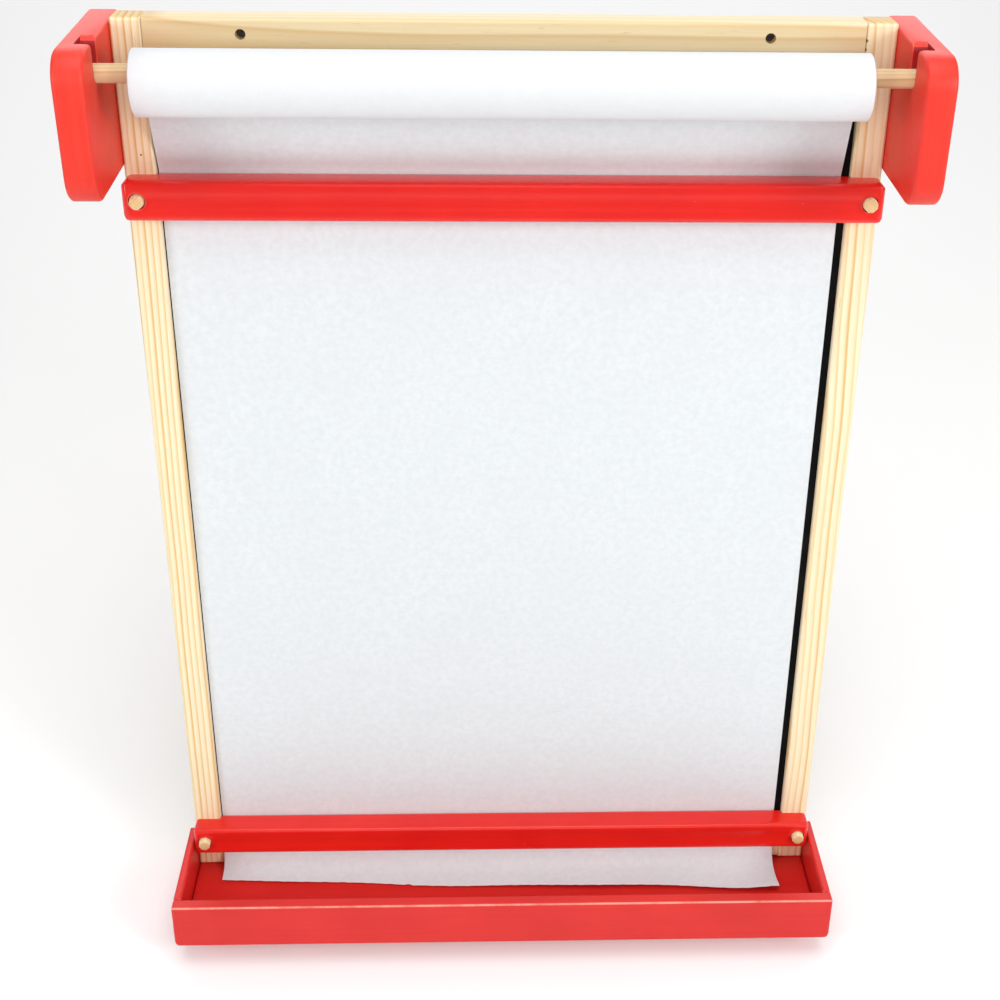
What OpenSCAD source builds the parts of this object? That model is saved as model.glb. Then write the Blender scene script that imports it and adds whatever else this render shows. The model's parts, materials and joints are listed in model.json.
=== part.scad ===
// Child's tabletop artist easel: a leaning pine board frame with a paper roll on a dowel,
// two clamp bars on pins, a tray at the foot and a folding rear leg frame.
// Board space: X to the right, Y into the board, Z up the board, origin at the foot of the
// frame's front face. on_board() leans board space back and stands it on the table.

/* [Board frame] */
// Width over the two stiles
frame_w = 400; // [380:1:420]
// Height of the stiles
frame_h = 546; // [520:1:570]
// Width of a stile and height of a rail
batten_w = 16.5; // [15:0.5:20]
// Thickness of stiles and rails
batten_t = 17.5; // [16:0.5:20]
// Radius of the eased edges on pine
pine_round = 2; // [1:0.5:3]
// Angle that the board leans back from upright
lean = 12; // [8:1:15]

/* [Chalkboard] */
// Depth of the panel's face behind the frame's face
panel_recess = 5.2; // [4:0.1:6]
// Thickness of the panel
panel_t = 3; // [2.5:0.5:4]
// Depth of the groove that holds the panel
groove = 3.5; // [2.5:0.5:4]

/* [Roll holder] */
// Thickness of a roll bracket
bracket_t = 15.5; // [14:0.5:20]
// Height of a roll bracket
bracket_h = 75; // [70:1:85]
// Reach of a bracket in front of the frame's face
bracket_reach = 66; // [58:0.5:70]
// Reach of a bracket behind the frame's face
bracket_back = 30; // [15:0.5:34]
// Angle that the brackets droop towards their front ends
bracket_droop = 2; // [0:0.5:3]
// Radius of the bracket's two front corners
bracket_round = 15; // [10:1:20]
// Depth of the blind slot in the bracket's inner face
slot_depth = 7.5; // [6:0.5:10]
// Width of the slot
slot_w = 10.8; // [10.5:0.1:12]
// Diameter of the roll's dowel
dowel_d = 9.5; // [9:0.5:10]

/* [Paper] */
// Width of the paper
paper_w = 362; // [340:1:364]
// Outer diameter of the wound paper
roll_d = 33; // [28:1:40]
// Outer diameter of the cardboard core
core_d = 22; // [21:1:24]
// Inner diameter of the cardboard core
core_id = 19.3; // [18:0.1:19.5]
// Distance of the roll's axis in front of the frame's face
roll_reach = 35.4; // [33:0.1:38]
// Height of the roll's axis up the board
roll_up = 521.8; // [515:0.1:523]
// Thickness given to the sheet
sheet_t = 0.3; // [0.2:0.1:0.4]
// Shift of the paper to the left
paper_shift = 1.8; // [0:0.1:2]

/* [Clamp bars] */
// Length of the upper clamp bar
upper_bar_w = 401; // [396:1:404]
// Length of the lower clamp bar, which fits between the tray's side walls
lower_bar_w = 399; // [394:1:400]
// Height of the upper clamp bar
upper_bar_h = 22; // [18:0.5:24]
// Height of the lower clamp bar
lower_bar_h = 19.5; // [18:0.5:22]
// Thickness of a bar over the stiles
bar_t = 12.2; // [10:0.1:14]
// Radius of the bars' edges
bar_round = 3; // [1:0.5:4]
// Radius of the upper bar's ends
upper_bar_end = 5; // [3:0.5:6]
// Radius of the lower bar's ends
lower_bar_end = 3; // [3:0.5:6]
// Height of the upper bar's lower edge up the board
upper_bar_up = 443.5; // [430:0.5:450]
// Height of the lower bar's lower edge up the board
lower_bar_up = 18; // [18:0.5:22]
// Diameter of the bar pins
pin_d = 8; // [6:0.5:8]
// Clearance round a pin in its bar
pin_gap = 0.4; // [0.3:0.1:0.6]
// Length of pin that stands in front of the bar
pin_proud = 3.8; // [2:0.2:5]

/* [Tray] */
// Reach of the tray in front of the frame's face
tray_reach = 69.8; // [60:0.2:75]
// Height of the tray's front
tray_h = 31; // [26:1:34]
// Thickness of the front panel
tray_front_t = 8.3; // [7:0.1:10]
// Thickness of a side wall
tray_side_t = 5; // [4:0.5:6]
// Thickness of the floor
tray_floor_t = 6.5; // [4:0.5:8]
// Gap between a stile and its side wall
tray_gap = 0.3; // [0.2:0.1:1]
// Gap along each side of the floor
floor_gap = 0.3; // [0.2:0.1:2]
// Radius of the tray's edges
tray_round = 1.5; // [1:0.5:2]

/* [Rear leg] */
// Angle of the rear legs from upright
leg_angle = 13; // [10:1:15]
// Distance of a hinge block's middle from the centre
block_x = 134.5; // [120:0.5:140]
// Width of a hinge block
block_w = 28; // [24:1:32]
// Height of the leg's pivot up the board
pivot_up = 530; // [528:0.5:532]
// Diameter of the pivot bolts
bolt_d = 5; // [4:0.5:6]
// Radial clearance of the bolt in the leg
bolt_gap = 0.05; // [0.02:0.01:0.1]

/* [Hidden] */
$fn = 64;

eps = 0.01;
stile_x = frame_w / 2 - batten_w / 2;
pin_x = stile_x + 0.8;
inner_x = frame_w / 2 - batten_w;
rail_top = frame_h - batten_w;
panel_gap = 0.1;

// The dowel hangs the roll from inside its core, so it sits straight above the roll's axis.
hang = core_id / 2 - dowel_d / 2 - 0.1;
dowel_y = -roll_reach - hang * sin(lean);
dowel_up = roll_up + hang * cos(lean);
dowel_len = frame_w + 2 * slot_depth - 2;
bracket_top = frame_h - 2.4;

bar_middle_t = panel_recess - sheet_t - 0.2;
upper_pin_up = upper_bar_up + upper_bar_h / 2;
lower_pin_up = lower_bar_up + lower_bar_h / 2;
screw_up = frame_h - batten_w / 2;

tray_in_x = frame_w / 2 + tray_gap;
tray_w = 2 * (tray_in_x + tray_side_t);
side_back = 8;

// Pivot in board space, and the standing height of board space's origin
pivot_y = batten_t + 9;
leg_h = batten_t;
leg_w = batten_w;
washer_t = 1;
leg_x = block_x + block_w / 2 + washer_t + leg_w / 2;
leg_over = 10;
open_angle = lean + leg_angle;
board_z = (batten_t - tray_round) * sin(lean) + (tray_floor_t - tray_round) * cos(lean) + tray_round;
pivot_world_z = board_z - pivot_y * sin(lean) + pivot_up * cos(lean);
leg_len = pivot_world_z / cos(leg_angle);
foot_back = pivot_y * cos(lean) + pivot_up * sin(lean)
    + leg_len * sin(leg_angle) + leg_h / 2 / cos(leg_angle);
tray_front_y = (tray_round - tray_reach) * cos(lean) + (tray_round - tray_floor_t) * sin(lean) - tray_round;
board_y = -(foot_back + tray_front_y) / 2;

module on_board() {
    translate([0, board_y, board_z]) rotate([-lean, 0, 0]) children();
}

// A rectangle from the origin with rounded corners
module round_rect(w, h, r) {
    translate([r, 0]) square([w - 2 * r, h]);
    translate([0, r]) square([w, h - 2 * r]);
    for (x = [r, w - r], y = [r, h - r]) translate([x, y]) circle(r);
}

// A board from the origin whose twelve edges are rounded
module round_board(size, r) {
    intersection() {
        linear_extrude(size.z) round_rect(size.x, size.y, r);
        translate([0, size.y, 0]) rotate([90, 0, 0]) linear_extrude(size.y) round_rect(size.x, size.z, r);
        rotate([90, 0, 90]) linear_extrude(size.x) round_rect(size.y, size.z, r);
    }
}

// A round bar along X, centred on X
module bar_x(len, d) {
    translate([-len / 2, 0, 0]) rotate([0, 90, 0]) cylinder(h = len, d = d);
}

// A round bar from the origin along +Y
module bar_y(len, d) {
    rotate([-90, 0, 0]) cylinder(h = len, d = d);
}

// A countersunk wood screw that points along -Z from its head's top at the origin
module wood_screw(len, d, head_d) {
    head_h = (head_d - d) / 2;
    difference() {
        union() {
            translate([0, 0, -head_h]) cylinder(h = head_h, d1 = d, d2 = head_d);
            translate([0, 0, 3 - len]) cylinder(h = len - 3, d = d);
            translate([0, 0, -len]) cylinder(h = 3 + eps, d1 = 0.6, d2 = d);
        }
        for (a = [0, 90]) rotate(a) translate([-head_d * 0.28, -0.45, -head_h * 0.8])
            cube([head_d * 0.56, 0.9, head_h]);
    }
}

// The hole that such a screw fills
module screw_hole(len, d, head_d) {
    head_h = (head_d - d) / 2;
    translate([0, 0, -head_h]) cylinder(h = head_h, d1 = d, d2 = head_d);
    translate([0, 0, 3 - len]) cylinder(h = len - 3, d = d);
    translate([0, 0, -len]) cylinder(h = 3 + eps, d1 = 0.6, d2 = d);
}

// ---- Board frame ----

frame_dowel_d = 5;
frame_dowel_len = 26;
frame_dowel_y = 5.5;
tray_screw_y = 12.5;

// Where the four hidden corner dowels lie
module at_frame_dowels() {
    for (s = [-1, 1], z = [batten_w / 2, screw_up])
        translate([s * (inner_x + 1), frame_dowel_y, z]) children();
}

module at_bar_pins(up) {
    for (s = [-1, 1]) translate([s * pin_x, 0, up]) children();
}

module at_bracket_screws() {
    for (s = [-1, 1], z = [bracket_top - bracket_h + 14, bracket_top - 22])
        translate([s * (frame_w / 2 + bracket_t), batten_t / 2, z]) rotate([0, s * 90, 0]) children();
}

module at_tray_screws() {
    for (s = [-1, 1]) translate([s * stile_x, tray_screw_y, -tray_floor_t]) rotate([180, 0, 0]) children();
}

pin_in = 12;
bracket_screw_len = 30;
bracket_screw_d = 3.5;
bracket_screw_head = 7;
tray_screw_len = 22;

module stile(side) {
    on_board() difference() {
        translate([side * stile_x - batten_w / 2, 0, 0])
            round_board([batten_w, batten_t, frame_h], pine_round);
        translate([side * (inner_x + groove / 2), panel_recess - panel_gap, batten_w - groove])
            translate([-groove / 2 - panel_gap, 0, 0])
            cube([groove + 2 * panel_gap, panel_t + 2 * panel_gap, rail_top - batten_w + 2 * groove]);
        at_frame_dowels() bar_x(frame_dowel_len, frame_dowel_d);
        for (up = [upper_pin_up, lower_pin_up])
            at_bar_pins(up) translate([0, -1, 0]) bar_y(pin_in + 1, pin_d);
        at_bracket_screws() screw_hole(bracket_screw_len, bracket_screw_d, bracket_screw_head);
        at_tray_screws() screw_hole(tray_screw_len, bracket_screw_d, bracket_screw_head);
    }
}

module left_stile() {
    color("burlywood") stile(-1);
}

module right_stile() {
    color("burlywood") stile(1);
}

rail_cb_d = 5.4;
rail_cb_depth = 5;
rail_screw_len = 25;
rail_screw_d = 3.5;
rail_screw_head = 5;

module at_rail_screws() {
    for (s = [-1, 1]) translate([s * block_x, 0, screw_up]) children();
}

// A rail between the stiles, with a groove for the panel on the side that faces it
module rail(z, groove_z) {
    difference() {
        translate([-inner_x, 0, z]) rotate([90, 0, 90]) linear_extrude(2 * inner_x)
            round_rect(batten_t, batten_w, pine_round);
        translate([-inner_x - 1, panel_recess - panel_gap, groove_z])
            cube([2 * inner_x + 2, panel_t + 2 * panel_gap, groove + panel_gap]);
        at_frame_dowels() bar_x(frame_dowel_len, frame_dowel_d);
    }
}

module top_rail() {
    color("burlywood") on_board() difference() {
        rail(rail_top, rail_top - panel_gap);
        at_rail_screws() translate([0, -1, 0]) bar_y(rail_cb_depth + 1, rail_cb_d);
        at_rail_screws() translate([0, rail_cb_depth, 0]) rotate([90, 0, 0])
            screw_hole(rail_screw_len, rail_screw_d, rail_screw_head);
    }
}

bottom_rail_lift = 0.8;

module bottom_rail() {
    color("burlywood") on_board() rail(bottom_rail_lift, batten_w + bottom_rail_lift - groove);
}

module frame_dowels() {
    color("tan") on_board() at_frame_dowels() bar_x(frame_dowel_len, frame_dowel_d);
}

module chalkboard_panel() {
    low = batten_w + bottom_rail_lift - groove + panel_gap;
    color("#262729") on_board() translate([-inner_x - groove, panel_recess, low])
        cube([2 * (inner_x + groove), panel_t, rail_top + groove - panel_gap - low]);
}

// ---- Roll holder ----

bracket_edge = 2;
bracket_depth = bracket_reach + bracket_back;
back_round = 4;

// Side outline of a bracket, drawn in by a distance: two large corners in front, two small behind
module bracket_outline(inset) {
    r = bracket_round - inset;
    q = back_round - inset;
    hull() {
        for (z = [bracket_round, bracket_h - bracket_round])
            translate([bracket_round, z]) circle(r, $fn = 48);
        for (z = [back_round, bracket_h - back_round])
            translate([bracket_depth - back_round, z]) circle(q, $fn = 24);
    }
}

// A bracket along +X from the origin with all its long edges rounded
module bracket_block() {
    hull() for (s = [0, 1], a = [0:22.5:90]) {
        from_face = bracket_edge * (1 - sin(a));
        translate([s == 0 ? from_face : bracket_t - from_face - eps, 0, 0]) rotate([90, 0, 90])
            linear_extrude(eps) bracket_outline(bracket_edge * (1 - cos(a)));
    }
}

slot_mouth_round = 4;

// The blind slot: a round seat under the dowel, open to the top of the bracket through a flared mouth
module dowel_slot(side) {
    seat = dowel_up + slot_w / 2 - dowel_d / 2 - 0.05;
    mouth = bracket_top + dowel_y * sin(bracket_droop);
    flare = slot_w / 2 + slot_mouth_round;
    translate([side > 0 ? frame_w / 2 - eps : -frame_w / 2 - slot_depth, dowel_y, 0]) rotate([90, 0, 90])
        linear_extrude(slot_depth + eps) {
            translate([0, seat]) circle(slot_w / 2);
            translate([-slot_w / 2, seat]) square([slot_w, 60]);
            difference() {
                translate([-flare, mouth - slot_mouth_round]) square([2 * flare, 40]);
                for (s = [-1, 1]) translate([s * flare, mouth - slot_mouth_round]) circle(slot_mouth_round);
            }
        }
}

module roll_bracket(side) {
    on_board() difference() {
        translate([side > 0 ? frame_w / 2 : -frame_w / 2 - bracket_t, 0, bracket_top])
            rotate([bracket_droop, 0, 0]) translate([0, -bracket_reach, -bracket_h]) bracket_block();
        dowel_slot(side);
        at_bracket_screws() screw_hole(bracket_screw_len, bracket_screw_d, bracket_screw_head);
    }
}

module left_roll_bracket() {
    color("crimson") roll_bracket(-1);
}

module right_roll_bracket() {
    color("crimson") roll_bracket(1);
}

module bracket_screws() {
    color("silver") on_board() at_bracket_screws()
        wood_screw(bracket_screw_len, bracket_screw_d, bracket_screw_head);
}

module rail_screws() {
    color("dimgray") on_board() at_rail_screws() translate([0, rail_cb_depth, 0]) rotate([90, 0, 0])
        wood_screw(rail_screw_len, rail_screw_d, rail_screw_head);
}

module roll_dowel() {
    color("tan") on_board() translate([0, dowel_y, dowel_up]) bar_x(dowel_len, dowel_d);
}

module roll_core() {
    color("peru") on_board() translate([-paper_shift, -roll_reach, roll_up]) difference() {
        bar_x(paper_w, core_d);
        bar_x(paper_w + 2, core_id);
    }
}

module paper_roll() {
    color("white") on_board() translate([-paper_shift, -roll_reach, roll_up]) difference() {
        bar_x(paper_w, roll_d);
        bar_x(paper_w + 2, core_d);
    }
}

// ---- Clamp bars ----

// A clamp bar from its lower edge: full depth between the stiles, thin where it crosses them
module clamp_bar(len, h, z, end_round) {
    depth = bar_t + bar_middle_t;
    on_board() difference() {
        translate([-len / 2, -bar_t, z]) intersection() {
            round_board([len, depth, h], bar_round);
            linear_extrude(h) round_rect(len, depth, end_round - 1);
            translate([0, depth, 0]) rotate([90, 0, 0]) linear_extrude(depth)
                round_rect(len, h, end_round);
        }
        for (s = [-1, 1]) translate([s * (inner_x + batten_w - 0.5) - batten_w, 0, z - 1])
            cube([2 * batten_w, bar_middle_t + 1, h + 2]);
        at_bar_pins(z + h / 2) translate([0, -bar_t - 1, 0]) bar_y(bar_t + 2, pin_d + 2 * pin_gap);
    }
}

module upper_clamp_bar() {
    color("red") clamp_bar(upper_bar_w, upper_bar_h, upper_bar_up, upper_bar_end);
}

module lower_clamp_bar() {
    color("red") clamp_bar(lower_bar_w, lower_bar_h, lower_bar_up, lower_bar_end);
}

module bar_pins(up) {
    on_board() at_bar_pins(up) translate([0, -bar_t - pin_proud, 0])
        bar_y(pin_in + bar_t + pin_proud, pin_d);
}

module upper_bar_pins() {
    color("tan") bar_pins(upper_pin_up);
}

module lower_bar_pins() {
    color("tan") bar_pins(lower_pin_up);
}

// ---- Paper sheet ----

// The free stretch starts at the upper bar's top edge, along the tangent to the back of the roll,
// and stops just short of the roll, so that the roll can be lifted past it.
sheet_y = panel_recess - sheet_t / 2 - 0.05;
leave = [sheet_y, upper_bar_up + upper_bar_h + 1];
to_axis = [-roll_reach - leave.x, roll_up - leave.y];
wrap_r = roll_d / 2 + 0.4;
tangent_a = atan2(to_axis.y, to_axis.x) - asin(wrap_r / norm(to_axis));
free_len = (sheet_y + roll_reach - roll_d / 2 - 0.6) / -cos(tangent_a);
meet = leave + free_len * [cos(tangent_a), sin(tangent_a)];
lip = batten_w + bottom_rail_lift;
sheet_path = [
    [-27, 2.6], [-20, 1.2], [-13, 0.9], [-8, 1.6], [-4.6, 3.6], [-2.4, 7], [-1.2, 11],
    [-0.7, 14.6], [-0.1, lip + 0.1], [2.2, lip + 0.4], [3.9, lip + 0.7], [4.8, lip + 1.8], [sheet_y, lip + 4],
    leave, leave + 3 * [cos(tangent_a / 2 + 45), sin(tangent_a / 2 + 45)], meet
];

// Points of a path moved sideways by a distance
function beside(path, d) = [
    for (i = [0:len(path) - 1])
        let (a = path[max(i - 1, 0)], b = path[min(i + 1, len(path) - 1)], t = (b - a) / norm(b - a))
            path[i] + d * [-t.y, t.x]
];
function backwards(path) = [for (i = [len(path) - 1:-1:0]) path[i]];

module paper_sheet() {
    color("whitesmoke") on_board() translate([-paper_w / 2 - paper_shift, 0, 0]) rotate([90, 0, 90])
        linear_extrude(paper_w)
            polygon(concat(beside(sheet_path, sheet_t / 2), backwards(beside(sheet_path, -sheet_t / 2))));
}

// ---- Tray ----

tray_corner = 5;

module tray_front() {
    color("firebrick") on_board() translate([-tray_w / 2, -tray_reach, -tray_floor_t]) intersection() {
        round_board([tray_w, tray_front_t, tray_h], tray_round);
        union() {
            translate([0, tray_front_t, 0]) rotate([90, 0, 0]) linear_extrude(tray_front_t)
                round_rect(tray_w, tray_h, tray_corner);
            translate([0, 0, tray_h / 2]) cube([tray_w, tray_front_t, tray_h / 2]);
        }
    }
}

module tray_side(side) {
    len = tray_reach - tray_front_t + side_back;
    x = side > 0 ? tray_in_x : -tray_in_x - tray_side_t;
    on_board() translate([x, tray_front_t - tray_reach, -tray_floor_t])
        round_board([tray_side_t, len, tray_h], tray_round);
}

module tray_left_side() {
    color("firebrick") tray_side(-1);
}

module tray_right_side() {
    color("firebrick") tray_side(1);
}

module tray_floor() {
    half = tray_in_x - floor_gap;
    color("firebrick") on_board() difference() {
        translate([-half, -tray_reach + tray_front_t, -tray_floor_t])
            round_board([2 * half, tray_reach - tray_front_t + batten_t, tray_floor_t], tray_round);
        at_tray_screws() screw_hole(tray_screw_len, bracket_screw_d, bracket_screw_head);
    }
}

nail_d = 1.4;
nail_len = 20;
side_nail_len = 10;
side_nail_y = 4;

// Brads: through the front into the side walls and floor, and through the walls into the stiles
module tray_nails() {
    color("silver") on_board() {
        for (s = [-1, 1], z = [4, 16]) translate([s * (tray_in_x + tray_side_t / 2), -tray_reach + 0.3, z])
            bar_y(nail_len, nail_d);
        for (x = [-120:120:120]) translate([x, -tray_reach + 0.3, -tray_floor_t / 2]) bar_y(nail_len, nail_d);
        for (s = [-1, 1], z = [2.6, 15])
            translate([s * (tray_in_x + tray_side_t - 0.3 - side_nail_len / 2), side_nail_y, z])
                bar_x(side_nail_len, nail_d);
    }
}

module tray_screws() {
    color("silver") on_board() at_tray_screws()
        wood_screw(tray_screw_len, bracket_screw_d, bracket_screw_head);
}

// ---- Rear leg frame ----

block_top = 542;
block_h = 26;
bolt_in = 24;
bolt_head_d = 10;
bolt_head_h = 3;
lower_rail_at = 110;
upper_rail_at = 360;

module at_pivots() {
    for (s = [-1, 1])
        translate([s * (block_x + block_w / 2), pivot_y, pivot_up]) rotate([0, s * 90, 0]) children();
}

module hinge_block(side) {
    on_board() difference() {
        translate([side * block_x - block_w / 2, batten_t, block_top - block_h])
            round_board([block_w, 18, block_h], pine_round);
        at_pivots() translate([0, 0, -bolt_in]) cylinder(h = bolt_in + 1, d = bolt_d);
        at_rail_screws() translate([0, rail_cb_depth, 0]) rotate([90, 0, 0])
            screw_hole(rail_screw_len, rail_screw_d, rail_screw_head);
    }
}

module left_hinge_block() {
    color("burlywood") hinge_block(-1);
}

module right_hinge_block() {
    color("burlywood") hinge_block(1);
}

module pivot_bolts() {
    reach = washer_t + leg_w + washer_t;
    color("silver") on_board() at_pivots() difference() {
        union() {
            translate([0, 0, -bolt_in]) cylinder(h = bolt_in + reach, d = bolt_d);
            translate([0, 0, reach]) cylinder(h = bolt_head_h, d1 = bolt_head_d, d2 = bolt_head_d - 2);
        }
        translate([-bolt_head_d * 0.35, -0.6, reach + bolt_head_h - 1.4]) cube([bolt_head_d * 0.7, 1.2, 2]);
    }
}

module pivot_washers() {
    color("silver") on_board() at_pivots() for (z = [0, washer_t + leg_w])
        translate([0, 0, z + 0.05]) difference() {
            cylinder(h = washer_t - 0.1, d = 12);
            translate([0, 0, -1]) cylinder(h = washer_t + 2, d = bolt_d);
        }
}

// Leg space: origin at the pivot, Z up along the leg, Y away from the board
module in_leg() {
    on_board() translate([0, pivot_y, pivot_up]) rotate([open_angle, 0, 0]) children();
}

module at_leg_screws() {
    for (s = [-1, 1], z = [lower_rail_at, upper_rail_at])
        translate([s * (leg_x + leg_w / 2), 0, z - leg_len]) rotate([0, s * 90, 0]) children();
}

leg_screw_len = 40;

module rear_leg(side) {
    difference() {
        in_leg() translate([side * leg_x - leg_w / 2, -leg_h / 2, -leg_len - 10])
            round_board([leg_w, leg_h, leg_len + 10 + leg_over], pine_round);
        // The heel that bears on the top rail when the leg is open
        on_board() translate([-frame_w / 2, -20, 0]) cube([frame_w, 20 + batten_t + 0.1, frame_h]);
        // The foot, cut level with the table
        translate([-frame_w / 2, 0, -60]) cube([frame_w, 400, 60]);
        in_leg() bar_x(2 * (leg_x + leg_w), bolt_d + 2 * bolt_gap);
        in_leg() at_leg_screws() screw_hole(leg_screw_len, bracket_screw_d, bracket_screw_head);
    }
}

module left_rear_leg() {
    color("burlywood") rear_leg(-1);
}

module right_rear_leg() {
    color("burlywood") rear_leg(1);
}

module leg_rail(z) {
    half = leg_x - leg_w / 2;
    color("burlywood") in_leg() difference() {
        translate([-half, -leg_h / 2 + 0.5, z - leg_len - batten_w / 2])
            round_board([2 * half, leg_h - 1, batten_w], pine_round);
        at_leg_screws() screw_hole(leg_screw_len, bracket_screw_d, bracket_screw_head);
    }
}

module leg_lower_rail() {
    leg_rail(lower_rail_at);
}

module leg_upper_rail() {
    leg_rail(upper_rail_at);
}

module leg_screws() {
    color("silver") in_leg() at_leg_screws() wood_screw(leg_screw_len, bracket_screw_d, bracket_screw_head);
}

left_stile();
right_stile();
top_rail();
bottom_rail();
frame_dowels();
chalkboard_panel();
left_roll_bracket();
right_roll_bracket();
bracket_screws();
rail_screws();
left_hinge_block();
right_hinge_block();
pivot_bolts();
pivot_washers();
upper_bar_pins();
lower_bar_pins();
paper_sheet();
tray_front();
tray_left_side();
tray_right_side();
tray_floor();
tray_nails();
tray_screws();
roll_dowel();
roll_core();
paper_roll();
upper_clamp_bar();
lower_clamp_bar();
left_rear_leg();
right_rear_leg();
leg_lower_rail();
leg_upper_rail();
leg_screws();
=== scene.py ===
"""Looks of a child's tabletop artist easel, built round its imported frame.

Board space is used for most places: X to the right, N into the board from the frame's front face,
and U up the board, with its origin at the foot of the frame's front face. The board leans back, so
board space is the row frame turned about X.
"""
import json
import math

import bmesh
import bpy
import numpy as np
from mathutils import Matrix, Vector


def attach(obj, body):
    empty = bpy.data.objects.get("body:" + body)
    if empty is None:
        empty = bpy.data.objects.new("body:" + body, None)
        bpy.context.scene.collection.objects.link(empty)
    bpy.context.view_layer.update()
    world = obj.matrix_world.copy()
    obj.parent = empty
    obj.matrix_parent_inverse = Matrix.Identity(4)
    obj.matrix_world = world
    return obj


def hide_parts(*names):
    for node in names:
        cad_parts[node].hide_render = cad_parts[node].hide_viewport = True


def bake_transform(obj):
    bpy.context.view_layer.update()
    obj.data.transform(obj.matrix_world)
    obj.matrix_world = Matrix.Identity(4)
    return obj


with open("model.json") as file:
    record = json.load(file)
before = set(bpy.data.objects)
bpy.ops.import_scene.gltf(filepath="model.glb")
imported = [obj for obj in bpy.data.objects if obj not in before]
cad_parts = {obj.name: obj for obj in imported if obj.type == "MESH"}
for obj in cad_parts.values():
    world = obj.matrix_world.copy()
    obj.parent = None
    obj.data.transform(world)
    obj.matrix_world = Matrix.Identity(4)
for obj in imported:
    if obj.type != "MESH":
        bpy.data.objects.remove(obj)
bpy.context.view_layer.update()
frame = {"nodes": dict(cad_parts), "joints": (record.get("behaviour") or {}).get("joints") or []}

MM = 0.001


# ---- Board space ----

def joint(name):
    """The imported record's joint of that name."""
    return next(j for j in frame["joints"] if j["name"] == name)


def node_points(name):
    """A CAD node's vertices as an array of rows, in the row frame."""
    mesh = frame["nodes"][name].data
    flat = np.empty(len(mesh.vertices) * 3, np.float32)
    mesh.vertices.foreach_get("co", flat)
    return flat.reshape(-1, 3).astype(float)


UP = np.array(joint("roll_dowel_lift")["axis"])
OUT = np.array(joint("upper_bar_off")["axis"])
TO_BOARD = np.array([[1, 0, 0], -OUT, UP])
BOARD_ORIGIN = (node_points("left_stile") @ TO_BOARD.T).min(0) * [0, 1, 1]
LEAN = math.asin(UP[1])


def board_box(name):
    """Lowest and highest corner of a CAD node in board space."""
    points = node_points(name) @ TO_BOARD.T - BOARD_ORIGIN
    return points.min(0), points.max(0)


def from_board(points):
    """Board-space points to the row frame; any shape whose last axis is X, N, U."""
    return (np.asarray(points, float) + BOARD_ORIGIN) @ TO_BOARD


ROLL_LOW, ROLL_HIGH = board_box("paper_roll")
ROLL_R = (ROLL_HIGH[2] - ROLL_LOW[2]) / 2
ROLL_N, ROLL_U = (ROLL_LOW[1:] + ROLL_HIGH[1:]) / 2
DOWEL_LOW, DOWEL_HIGH = board_box("roll_dowel")
SHEET_LOW, SHEET_HIGH = board_box("paper_sheet")
PANEL_LOW, PANEL_HIGH = board_box("chalkboard_panel")
UPPER_LOW, UPPER_HIGH = board_box("upper_clamp_bar")
LOWER_LOW, LOWER_HIGH = board_box("lower_clamp_bar")


# ---- Meshes ----

def grid_faces(rows, cols, closed=False):
    """Quads between the points of a rows by cols grid; closed joins the last column to the first."""
    r = np.arange(rows - 1)[:, None]
    c = np.arange(cols if closed else cols - 1)[None, :]
    nxt = (c + 1) % cols
    quads = np.stack([r * cols + c, r * cols + nxt, (r + 1) * cols + nxt, (r + 1) * cols + c], -1)
    return quads.reshape(-1, 4)


def piece(name, points, faces, finish):
    """A smooth mesh object from an array of points and a list of faces, with its normals outwards."""
    mesh = bpy.data.meshes.new(name)
    places = np.asarray(points, float).reshape(-1, 3).tolist()
    mesh.from_pydata(places, [], [list(map(int, f)) for f in faces])
    work = bmesh.new()
    work.from_mesh(mesh)
    bmesh.ops.recalc_face_normals(work, faces=work.faces)
    work.to_mesh(mesh)
    work.free()
    mesh.polygons.foreach_set("use_smooth", np.full(len(mesh.polygons), True))
    mesh.materials.append(finish)
    obj = bpy.data.objects.new(name, mesh)
    bpy.context.collection.objects.link(obj)
    return obj


def sharpen(obj, degrees):
    """Marks the edges that turn by more than an angle as sharp, so that flat faces stay flat."""
    work = bmesh.new()
    work.from_mesh(obj.data)
    limit = math.radians(degrees)
    for edge in work.edges:
        edge.smooth = len(edge.link_faces) != 2 or edge.calc_face_angle(0) < limit
    work.to_mesh(obj.data)
    work.free()


def lathe(profile, sides, wobble=None):
    """A closed solid turned about the first axis: profile rows are (along, radius), and the point at
    angle a is (along, r cos a, r sin a). wobble(along, a) gives a factor on the radius."""
    profile = np.asarray(profile, float)
    angle = np.linspace(0, 2 * math.pi, sides, endpoint=False)
    along = np.repeat(profile[:, :1], sides, 1)
    radius = profile[:, 1:2] * (1 if wobble is None else wobble(along, angle[None, :]))
    rings = np.stack([along, radius * np.cos(angle), radius * np.sin(angle)], -1)
    faces = [tuple(q) for q in grid_faces(len(profile), sides, closed=True)]
    count = len(profile) * sides
    ends = [[profile[0, 0], 0, 0], [profile[-1, 0], 0, 0]]
    points = np.vstack([rings.reshape(-1, 3), ends])
    last = (len(profile) - 1) * sides
    faces += [(count, (k + 1) % sides, k) for k in range(sides)]
    faces += [(count + 1, last + k, last + (k + 1) % sides) for k in range(sides)]
    return points, faces


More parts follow.
